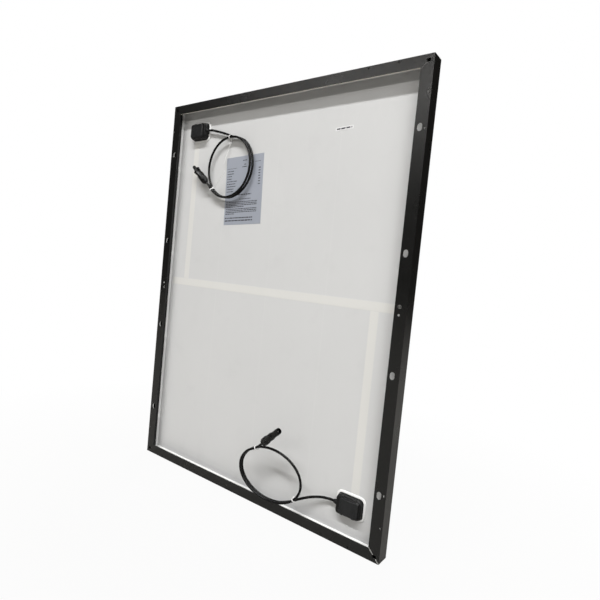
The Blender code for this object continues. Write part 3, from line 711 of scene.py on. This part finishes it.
def backsheet(finish):
    """The film as a fine grid, raised over the strips, with a slit for each ribbon."""
    marks_x, marks_z, near = [], [], (-0.0012, 0.0, 0.0012)
    for low, high in STRIP_BOXES.values():
        marks_x += [low.x, high.x]
        marks_z += [low.z, high.z]
    slits = []
    for key in BOXES:
        for name in ("lead", "tap"):
            pole = "positive" if key == "upper" else "negative"
            low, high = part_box(f"{pole}_{name}_ribbon")
            end_z = high.z if (key == "upper") == (name == "tap") else low.z
            slits.append((low.x - 0.0003, high.x + 0.0003, end_z - 0.001, end_z + 0.001))
    xs = lines_between(SHEET_LOW.x, SHEET_HIGH.x, 0.008, marks_x, near)
    zs = lines_between(SHEET_LOW.z, SHEET_HIGH.z, 0.008, marks_z, near)
    for x0, x1, z0, z1 in slits:
        xs = sorted({x for x in xs if not x0 - 0.0004 < x < x1 + 0.0004} | {x0, x1})
        zs = sorted({z for z in zs if not z0 - 0.0004 < z < z1 + 0.0004} | {z0, z1})
    shape = bmesh.new()
    grid = [[shape.verts.new((x, SHEET_LOW.y - relief(x, z), z)) for z in zs] for x in xs]
    for i in range(len(xs) - 1):
        for j in range(len(zs) - 1):
            x, z = (xs[i] + xs[i + 1]) / 2, (zs[j] + zs[j + 1]) / 2
            if any(x0 < x < x1 and z0 < z < z1 for x0, x1, z0, z1 in slits):
                continue
            shape.faces.new((grid[i][j], grid[i + 1][j], grid[i + 1][j + 1], grid[i][j + 1]))
    bmesh.ops.delete(shape, geom=[v for v in shape.verts if not v.link_faces], context="VERTS")
    made = bmesh.ops.extrude_face_region(shape, geom=list(shape.faces))
    for vertex in (v for v in made["geom"] if isinstance(v, bmesh.types.BMVert)):
        vertex.co.y = SHEET_HIGH.y
    bmesh.ops.recalc_face_normals(shape, faces=shape.faces)
    mesh = bpy.data.meshes.new("white_backsheet")
    shape.to_mesh(mesh)
    shape.free()
    shade(mesh, 60)
    mesh.materials.append(finish)
    sheet = placed("white_backsheet", mesh)
    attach(sheet, "panel")
    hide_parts("backsheet")


def shingled_string(name, finish):
    """A string of thin cells, each lapped over the edge of the one below."""
    low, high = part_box(name)
    pitch = (high.z - low.z - SHINGLE_WIDTH) / (SHINGLES - 1)
    thick, lean = 0.00009, 0.0001
    shell = Shell()
    for i in range(SHINGLES):
        start = low.z + i * pitch
        shell.take([[(low.x, y - thick, z), (high.x, y - thick, z), (high.x, y, z), (low.x, y, z)]
                    for z, y in ((start, high.y), (start + SHINGLE_WIDTH, high.y - lean))])
    string = piece(name + "_shingles", shell.solid, finish)
    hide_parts(name)


def laminate():
    soften_node("front_glass", 0.0004, clear_glass())
    soften_node("front_encapsulant", 0.0, clear_film())
    soften_node("rear_encapsulant", 0.0, plain_finish("rear_film"))
    low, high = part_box("cell_string_lower_1")
    cell = solar_cell((high.z - low.z - SHINGLE_WIDTH) / (SHINGLES - 1), low.z)
    for name in CELL_STRINGS:
        shingled_string(name, cell)
    tinned = tinned_ribbon()
    for name in sorted(n for n in NODES if n.endswith("_ribbon")):
        soften_node(name, 0.0, tinned)
    cream = plain_finish("cream_strip")
    for name in STRIP_BOXES:
        soften_node(name, 0.0, cream)
    backsheet(white_backsheet())
    white = white_silicone()
    sealant_bead(white)
    for key in BOXES:
        soften_node(key + "_box_adhesive", 0.0003, white)


# ---- junction boxes

def box_frame(key):
    """Turns a box's own (along the lead, out from the sheet, up) into the row frame."""
    (x, z), side = BOXES[key]
    return local_frame(x, 0.0, z, side)


def box_rings(key, size, rings, shift=0.0):
    """Loops of rounded rectangles. A ring is (growth in mm, corner radius in mm, distance from the sheet)."""
    place = box_frame(key)
    return [[place((x + shift, out, z))
             for x, z in rounded_rectangle(size[0] + grown * MM, size[1] + grown * MM, radius * MM)]
            for grown, radius, out in rings]


def cut(obj, shell, name):
    """Takes a shell's lumps out of a piece and leaves no cutter behind."""
    cutter = placed(name, solid_mesh(name, shell.solid))
    change = obj.modifiers.new(name, "BOOLEAN")
    change.object = cutter
    change.operation = "DIFFERENCE"
    change.solver = "EXACT"
    bpy.context.view_layer.update()
    graph = bpy.context.evaluated_depsgraph_get()
    result = bpy.data.meshes.new_from_object(obj.evaluated_get(graph))
    obj.modifiers.clear()
    obj.data = result
    bpy.data.objects.remove(cutter, do_unlink=True)


def box_base(key, finish):
    low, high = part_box(key + "_box_base")
    size = width, height = high.x - low.x, high.z - low.z
    floor, rim = -high.y, -low.y
    rings = box_rings(key, size, [
        (2.2, 9.0, floor), (2.6, 9.2, floor + 0.0004), (2.6, 9.2, floor + 0.0013), (1.8, 8.8, floor + 0.0018),
        (0.2, 8.0, floor + 0.002), (0.0, 8.0, floor + 0.0026), (-0.2, 8.0, rim - 0.0026),
        (-1.0, 7.7, rim - 0.0022), (-1.0, 7.7, rim - 0.0008), (-2.0, 7.2, rim - 0.0001), (-2.6, 6.8, rim),
        (-3.2, 6.4, rim), (-3.2, 6.4, floor + 0.0015),
    ])
    base = piece(key + "_junction_box", skin(rings), finish)
    place = box_frame(key)
    holes = Shell()
    for x, z in ((-0.0105, -0.007), (0.0095, 0.0065)):
        holes.block(place, (x - 0.004, floor - 0.001, z - 0.0015), (x + 0.004, floor + 0.003, z + 0.0015))
    for x in (-0.013, 0.013):
        for z in (-1, 1):
            holes.block(place, (x - 0.0032, rim - 0.003, z * (height / 2 + 0.004)),
                        (x + 0.0032, rim + 0.002, z * (height / 2 - 0.003)))
    holes.take([[place((along, *p)) for p in circle(0.004, 24)]
                for along in (width / 2 - 0.003, width / 2 + 0.003)])
    cut(base, holes, key + "_box_holes")
    shade(base.data, 35)
    bevelled(base, 0.00016, 1, 50.0)
    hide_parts(key + "_box_base")

    ribs = Shell()
    for i in range(7):
        z = (i - 3) * 0.003
        ribs.block(place, (-width / 2 - 0.00075, floor + 0.0016, z - 0.0005),
                   (-width / 2 + 0.0004, rim - 0.003, z + 0.0005))
    for x in (-0.003, 0.003):
        for z in (-1, 1):
            edges = sorted((z * (height / 2 - 0.0004), z * (height / 2 + 0.0008)))
            ribs.block(place, (x - 0.0005, floor + 0.0016, edges[0]), (x + 0.0005, rim - 0.003, edges[1]))
    trim = bevelled(piece(key + "_box_ribs", ribs.solid, finish), 0.00018, 2)


def box_lid(key, finish):
    """A push-fit cap with a raised part, a shallow panel in it, finger ribs and four clips."""
    low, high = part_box(key + "_box_lid")
    cap = cap_width, cap_height = high.x - low.x, high.z - low.z
    skirt = cap_width - 0.0003, cap_height - 0.0003
    # The raised part stops short of the end where the lead leaves
    top = top_width, top_height = cap_width - 0.01, cap_height - 0.0036
    panel = panel_width, panel_height = top_width - 0.007, top_height - 0.007
    face, foot = -low.y, JOINT_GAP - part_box(key + "_box_base")[0].y
    shoulder = face - 0.0019
    shift = (top_width - cap_width) / 2 + 0.0018
    rings = box_rings(key, skirt, [
        (-2.4, 4.9, shoulder - 0.0016), (-2.4, 4.9, foot - 0.0023), (0, 6.1, foot - 0.0023), (0, 6.1, foot)])
    rings += box_rings(key, cap, [
        (-0.6, 5.3, foot), (0, 5.6, foot + 0.0003), (-0.2, 5.6, shoulder - 0.0012),
        (-0.8, 5.3, shoulder - 0.0005), (-2, 4.8, shoulder)])
    rings += box_rings(key, top, [
        (0.4, 4, shoulder), (0, 4, shoulder + 0.0003), (-0.6, 3.8, face - 0.0008),
        (-1.4, 3.6, face - 0.0003), (-3, 3.1, face)], shift)
    rings += box_rings(key, panel, [
        (1.2, 2.6, face), (0.2, 2.2, face - 0.0001), (0, 2, face - 0.0005)], shift)
    body = key + "_lid"
    lid = piece(key + "_lid_cap", skin(rings), finish, body)
    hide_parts(key + "_box_lid")
    place = box_frame(key)
    extras = Shell()
    for x in (-0.013, 0.013):
        for z in (-1, 1):
            inner, outer = z * (cap_height / 2 - 0.001), z * (cap_height / 2 + 0.0013)
            extras.block(place, (x - 0.0028, foot - 0.0024, min(inner, outer)),
                         (x + 0.0028, foot + 0.0012, max(inner, outer)))
    for i in range(4):
        x = shift - panel_width / 2 + 0.003 + i * 0.0022
        extras.block(place, (x - 0.0005, face - 0.0007, -panel_height / 2 + 0.003),
                     (x + 0.0005, face - 0.0001, panel_height / 2 - 0.003))
    clips = bevelled(piece(key + "_lid_clips", extras.solid, finish, body), 0.0002, 2)


def cable_gland(key, finish):
    """A short stepped neck that grips the lead; its profile is in millimetres."""
    low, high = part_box(key + "_box_base")
    face = (high.x - low.x) / 2
    place = box_frame(key)
    profile = [(-1.3, 3.7), (0.3, 3.7), (0.3, 5), (0.6, 5.2), (2, 5.2), (2.3, 5), (2.7, 4.6), (4, 4.4),
               (4.2, 4.1), (4.5, 4.1), (4.7, 4.3), (6.2, 4), (6.8, 3.6), (7, 3.1)]
    loops = [[place((face + along * MM, *p)) for p in circle(radius * MM, 32)] for along, radius in profile]
    neck = piece(key + "_lead_neck", skin(loops), finish)
    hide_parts(key + "_cable_gland")


def glue_bead(key, finish):
    """White adhesive squeezed out round the foot of a box, wider in some places than in others."""
    place = box_frame(key)
    low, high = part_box(key + "_box_adhesive")
    width, height = high.x - low.x, high.z - low.z
    draw = random.Random(21 if key == "upper" else 22)
    outline = rounded_rectangle(width - 0.003, height - 0.003, 0.008, 6)
    swell = [draw.uniform(0.0, 1.0) for _ in outline]
    count = len(outline)
    loops = []
    for i, (x, z) in enumerate(outline):
        ahead, behind = outline[(i + 1) % count], outline[i - 1]
        away = Vector((ahead[1] - behind[1], 0, behind[0] - ahead[0])).normalized()
        wide = 0.003 + 0.001 * (swell[i - 1] + swell[i] + swell[(i + 1) % count]) / 3
        wide += 0.0007 if key == "upper" else 0.0012
        section = [(0.0, -high.y), (wide, -high.y), (wide - 0.0001, -high.y + 0.0006),
                   (wide - 0.0006, -high.y + 0.0013), (wide - 0.0014, -high.y + 0.0018),
                   (wide - 0.0024, -high.y + 0.002), (0.0, -high.y + 0.002)]
        loops.append([place((x + away.x * u, out, z + away.z * u)) for u, out in section])
    bead = piece(key + "_glue_bead", skin(loops, closed_ring=True), finish, crease=60.0)


def junction_boxes():
    glue = white_silicone()
    shell = black_plastic("box_plastic", 0.003, 0.4, 1400.0, 0.00003)
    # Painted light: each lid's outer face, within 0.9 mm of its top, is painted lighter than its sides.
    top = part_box("upper_box_lid")[0].y + 0.0009
    cover = black_plastic("lid_plastic", 0.004, 0.3, 1400.0, 0.00003, painted_light_from=top)
    metal = copper("contact_copper", (0.72, 0.5, 0.33))
    epoxy = black_plastic("diode_case", 0.02, 0.35, 2400.0, 0.00001)
    for key in BOXES:
        box_base(key, shell)
        box_lid(key, cover)
        cable_gland(key, shell)
        glue_bead(key, glue)
        for name in ("tap", "lead"):
            soften_node(f"{key}_box_{name}_contact", 0.0001, metal)
        soften_node(key + "_bypass_diode", 0.0, epoxy)


# ---- leads, ties and connectors

def loop_point(loop, angle):
    turn = math.radians(angle)
    wound = (loop["joins"] - angle) / 360
    x = loop["centre"][0] + loop["half"][0] * math.cos(turn) + loop["drift"] * (0.8 - wound)
    z = loop["centre"][1] + loop["half"][1] * math.sin(turn)
    lean = loop["tilt"][0] * (x - loop["centre"][0]) + loop["tilt"][1] * (z - loop["centre"][1])
    return Vector((x, loop["depth"] + lean - TURN_PITCH * wound, z))


def lead_route(key):
    """The lead's own points: out of the gland, round the loop every 24 degrees or so, to the plug."""
    loop = LOOPS[key]
    count = round((loop["joins"] - loop["leaves"]) / 24)
    step = (loop["leaves"] - loop["joins"]) / count
    turns = [loop_point(loop, loop["joins"] + i * step) for i in range(count + 1)]
    return [Vector(p) for p in LEADS[key]] + turns + [Vector(p) for p in TAILS[key]]


def smooth_points(route, step):
    """Points at even steps along the smooth curve through a route."""
    ends = [2 * route[0] - route[1]] + route + [2 * route[-1] - route[-2]]
    fine = []
    for before, start, end, after in zip(ends, ends[1:], ends[2:], ends[3:]):
        for i in range(20):
            t = i / 20
            fine.append(0.5 * (2 * start + (end - before) * t
                               + (2 * before - 5 * start + 4 * end - after) * t * t
                               + (3 * start - before - 3 * end + after) * t * t * t))
    fine.append(route[-1])
    reached = [0.0]
    for a, b in zip(fine, fine[1:]):
        reached.append(reached[-1] + (b - a).length)
    count = round(reached[-1] / step)
    even, i = [], 0
    for k in range(count + 1):
        target = reached[-1] * k / count
        while i < len(fine) - 2 and reached[i + 1] < target:
            i += 1
        share = (target - reached[i]) / (reached[i + 1] - reached[i])
        even.append(fine[i].lerp(fine[i + 1], min(1.0, share)))
    return even, reached[-1]


def lead(key, finish):
    points, length = smooth_points(lead_route(key), 0.004)
    curve = bpy.data.curves.new(key + "_cable", "CURVE")
    curve.dimensions = "3D"
    curve.bevel_depth = CABLE_RADIUS
    curve.bevel_resolution = 5
    curve.use_fill_caps = True
    spline = curve.splines.new("POLY")
    spline.points.add(len(points) - 1)
    for point, place in zip(spline.points, points):
        point.co = (*place, 1.0)
    spline.use_smooth = True
    curve.materials.append(finish)
    cable = placed(key + "_cable", curve)
    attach(cable, "panel")
    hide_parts(key + "_lead")
    tuple(points[0])


def tie(key, spot, angle, first, tail, finish):
    """A nylon tie round two strands: a rounded band, its head and the free tail (inwards, to one side)."""
    loop = LOOPS[key]
    second = loop_point(loop, angle - 360 if angle - 360 >= loop["leaves"] - 1 else loop["leaves"])
    along = (loop_point(loop, angle - 362) - loop_point(loop, angle - 358)).normalized()
    across = second - first
    across -= along * across.dot(along)
    half_gap = across.length / 2
    across.normalize()
    third = along.cross(across)
    middle = (first + second) / 2
    centre = Vector((loop["centre"][0], middle.y, loop["centre"][1]))
    inward = third if third.dot(centre - middle) > 0 else -third
    width, thick, clear = 0.0026, 0.0009, 0.0008
    shell = Shell()
    section = [(clear, -0.42), (clear, 0.42), (clear + thick * 0.25, 0.5), (clear + thick * 0.75, 0.5),
               (clear + thick, 0.42), (clear + thick, -0.42), (clear + thick * 0.75, -0.5),
               (clear + thick * 0.25, -0.5)]
    shell.take([[middle + across * a + third * b + along * (shift * width)
                 for a, b in stadium(half_gap, CABLE_RADIUS + rise)]
                for rise, shift in section], closed_ring=True)
    root = middle + inward * (CABLE_RADIUS + clear + thick)
    outward = across if across.y < 0 else -across

    def place(p):
        return root + along * p[0] + inward * p[1] + outward * p[2]

    shell.block(place, (-0.0021, -0.0003, -0.002), (0.0021, 0.0027, 0.002))
    shell.block(place, (-0.0013, -0.0003, -0.0027), (0.0013, 0.002, -0.0018))
    start, heading, bend, length = place((0.0, 0.002, -0.0006)), Vector(tail[0]), Vector(tail[1]), tail[2]
    strip = []
    steps = max(3, round(length / 0.004))
    for i in range(steps + 1):
        share = i / steps
        spine = start + heading * (length * share) + bend * (length * share * share)
        forward = (heading + 2 * share * bend).normalized()
        lifted = Vector((0, 0, 1)) - forward * forward.z
        facing = (Vector((0, -1, 0)) + (lifted.normalized() if lifted.length > 0.1 else lifted)).normalized()
        sideways = forward.cross(facing).normalized()
        half = 0.0012 if i < steps else 0.0006
        strip.append([spine + sideways * (half * a) + facing * (0.00045 * b)
                      for a, b in ((-1, -1), (1, -1), (1, 1), (-1, 1))])
    shell.take(strip)
    band = bevelled(piece(f"{key}_cable_tie_{spot}", shell.solid, finish), 0.00012, 2, 60.0)
    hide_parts(f"{key}_tie_at_{spot}")
    return band


def shaped_turning(sections, place):
    """Loops along an axis. A section is (along, radius) and perhaps (flutes, their depth, wing height)."""
    loops = []
    for along, radius, *shape in sections:
        flutes, depth, wing = (*shape, 0, 0, 0)[:3]
        loop = []
        for i in range(96):
            angle = math.tau * i / 96
            reach = radius + wing * max(0.0, math.cos(2 * angle)) ** 10
            if flutes:
                reach -= depth * (0.5 + 0.5 * math.cos(flutes * angle)) ** 2
            loop.append(place((along, reach * math.cos(angle), reach * math.sin(angle))))
        loops.append(loop)
    return loops


def plug_frame(key):
    """Turns millimetres in a connector's own frame, along its axis from the lead, into the row frame."""
    axis = Vector(PLUG_AXES[key]).normalized()
    start = Vector(TAILS[key][-1]) + axis * JOINT_GAP
    turn = Vector((1, 0, 0)).rotation_difference(axis).to_matrix()
    return lambda p: start + turn @ (MM * Vector(p))


def connector_nut(key, finish):
    """The cap nut: a soft cone at the lead and a fluted grip."""
    place = plug_frame(key)
    grip = [(7.2, 0.2), (8.6, 1), (11, 1.1), (15, 1.1), (16.6, 0.9)]
    sections = [(0, 3.8), (0, 4.3), (0.4, 4.7), (2.4, 6.1), (4, 7.3, 8, 0.4), (5.6, 8.4, 8, 0.8)]
    sections += [(along, 8.9 + 0.02 * (along - 7.2), 8, depth) for along, depth in grip]
    sections += [(17.2, 9.1, 8, 0.4), (17.8, 9.1), (18, 8.9), (18, 7.3), (6.8, 7.3)]
    nut = piece(key + "_cap_nut", skin(shaped_turning(sections, place)), finish, crease=50.0)
    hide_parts(key + "_connector_nut")
    return nut


def connector_body(key, finish):
    """The housing: a ribbed collar, then a long socket nose or a wide pin shroud, with its latch."""
    place = plug_frame(key)
    sections = [(7.5, 6.8), (18.3, 6.8), (18.4, 8.5), (18.7, 8.8), (20.3, 8.8), (20.8, 8.6),
                (21.2, 7.9, 12, 0.3), (22.5, 7.9, 12, 0.6, 0.6)]
    if key == "upper":
        sections += [(32, 7.9, 12, 0.6, 1), (38, 7.8, 12, 0.3, 1.2), (39.2, 7.7, 0, 0, 1.2),
                     (40, 7.4, 0, 0, 0.6), (40.8, 6.6), (41.5, 6.3, 0, 0, 0.8), (50.5, 6.2, 0, 0, 1),
                     (52.2, 6.1, 0, 0, 0.2), (52.8, 6), (53.2, 5.2), (53.5, 4.6), (54.5, 4.5), (64, 4.4),
                     (65.2, 4.2), (65.5, 3.9), (65.5, 3.1), (53.5, 3.1)]
    else:
        sections += [(30, 8, 12, 0.6), (36, 8, 12, 0.3), (37.6, 8), (38.8, 7.4), (40, 6.9), (40.5, 6.8),
                     (56, 6.7), (56.3, 7), (58.5, 7), (58.8, 6.7), (64, 6.6), (65.2, 6.3), (65.5, 5.9),
                     (65.5, 4.8), (49.5, 4.8)]
    shell = Shell()
    shell.take(shaped_turning(sections, place))
    for flank in (-1, 1):
        def arm(p, flank=flank):
            return place((p[0], p[2], flank * p[1]) if key == "upper" else (p[0], flank * p[1], p[2]))
        if key == "upper":
            shell.block(arm, (23, 7, -2.2), (34, 9, 2.2))
            half = 2.1
            outline = [(39.5, 6), (39.5, 8), (50, 8.6), (51.2, 9.6), (53.6, 8), (54.5, 6.6), (52, 6.2),
                       (50, 6.8)]
        else:
            outline = [(22.5, 7.4), (22.5, 8.8), (25, 9.4), (40, 9.4), (42.5, 9.6), (44.5, 8.6),
                       (44.5, 7.4), (41.5, 8), (26, 8)]
            half = 2.3
        shell.take([[arm((x, y, z)) for x, y in outline] for z in (-half, half)])
    body = bevelled(piece(key + "_connector_shell", shell.solid, finish, crease=40.0), 0.00018, 2, 55.0)
    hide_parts(key + "_connector_body")
    return body


def seal_ring(key, along, radius, finish):
    """The rubber ring that shows round a connector's nose."""
    place = plug_frame(key)
    loops = [[place((along + 0.7 * shift, (radius + 0.6 * grown) * u, (radius + 0.6 * grown) * v))
              for grown, shift in circle(1.0, 10)] for u, v in circle(1.0, 48)]
    ring = piece(key + "_seal_ring", skin(loops, closed_ring=True), finish)
    return ring


def leads():
    sheath = cable_sheath()
    housing = black_plastic("connector_plastic", 0.003, 0.24, 1800.0, 0.00002)
    rubber = black_plastic("seal_rubber", 0.014, 0.62, 900.0, 0.00003)
    # Painted shade: the tinned contact is painted dark because it sits deep in its socket.
    contact = copper("tinned_contact", (0.2, 0.195, 0.19))
    nylon = plain_finish("white_nylon")
    for key, loop in LOOPS.items():
        joining, leaving = TIE_ANGLES[key]
        first = Vector(LEADS[key][-1])
        pieces = [
            tie(key, "box", joining, first, TIE_TAILS[key][0], nylon),
            tie(key, "plug", leaving - 360, loop_point(loop, leaving - 360), TIE_TAILS[key][1], nylon),
            connector_nut(key, housing),
            connector_body(key, housing),
            seal_ring(key, *SEAL_RINGS[key], rubber),
            NODES[key + "_connector_contact"],
        ]
        soften_node(key + "_connector_contact", 0.0001, contact)
        lead(key, sheath)


# ---- labels

def print_bars(name, node, tilt, lines, ink):
    """Rows of short bars that stand for print. A line is (down, start, end, bar height) in millimetres."""
    low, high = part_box(node)
    middle = (low + high) / 2
    turn = Matrix.Rotation(-math.radians(tilt), 3, "Y")
    face = low.y - 0.00002
    draw = random.Random(5)
    shell = Shell()
    for line in lines:
        down, at, end, tall = (MM * value for value in line)
        while at < end:
            long = min(draw.uniform(1.2, 4.2) * tall, end - at)
            corners = [turn @ Vector((x, 0, -down + z)) for x, z in
                       ((at, -tall / 2), (at + long, -tall / 2), (at + long, tall / 2), (at, tall / 2))]
            shell.take([[(middle.x + c.x, y, middle.z + c.z) for c in corners]
                        for y in (face, face - 0.00002)])
            at += long + draw.uniform(0.35, 0.7) * tall
    bars = piece(name, shell.solid, ink)


def nameplate_lines():
    """A heading, a list with values at the right, a short line and a few paragraphs."""
    lines = [(-70.6, -6, 8, 1.8), (-61, -1, 6, 1.8), (-55.4, -7.5, 8, 2), (-64, 33, 50, 1.2),
             (-54, -56, -25, 0.9)]
    for i, end in enumerate((-34, -34, -40, -40, -23, -26.5, -26.5, -33, -34)):
        lines.append((-47.8 + 6.1 * i, -55, end, 1.9))
    lines += [(-48.9 + 6.2 * i, 45, 51.5, 2.2) for i in range(7)]
    lines += [(10, -24.5, 26, 2.4), (20.5, -12, 25, 1.6)]
    for first, last in ((27, 4), (43.4, -26)):
        lines += [(first + 3.8 * i, -55, 45 if i < 3 else last, 1.9) for i in range(4)]
    return lines + [(64.7, -56, 33, 2.5), (71.1, -56, 33.5, 2.7)]


def labels():
    soften_node("nameplate", 0.0, label_film("silver_film", (0.46, 0.49, 0.56), 0.25))
    soften_node("serial_sticker", 0.0, label_film("white_film", (0.86, 0.86, 0.86), 0.0))
    ink = plain_finish("printed_ink")
    print_bars("nameplate_print", "nameplate", 2.7, nameplate_lines(), ink)
    print_bars("serial_print", "serial_sticker", 3.0, [(0, -18, 18, 2.8)], ink)


# ---- the whole panel

make_camera()
make_studio()
make_floor()
leads()
dress_frame()
laminate()
junction_boxes()
labels()
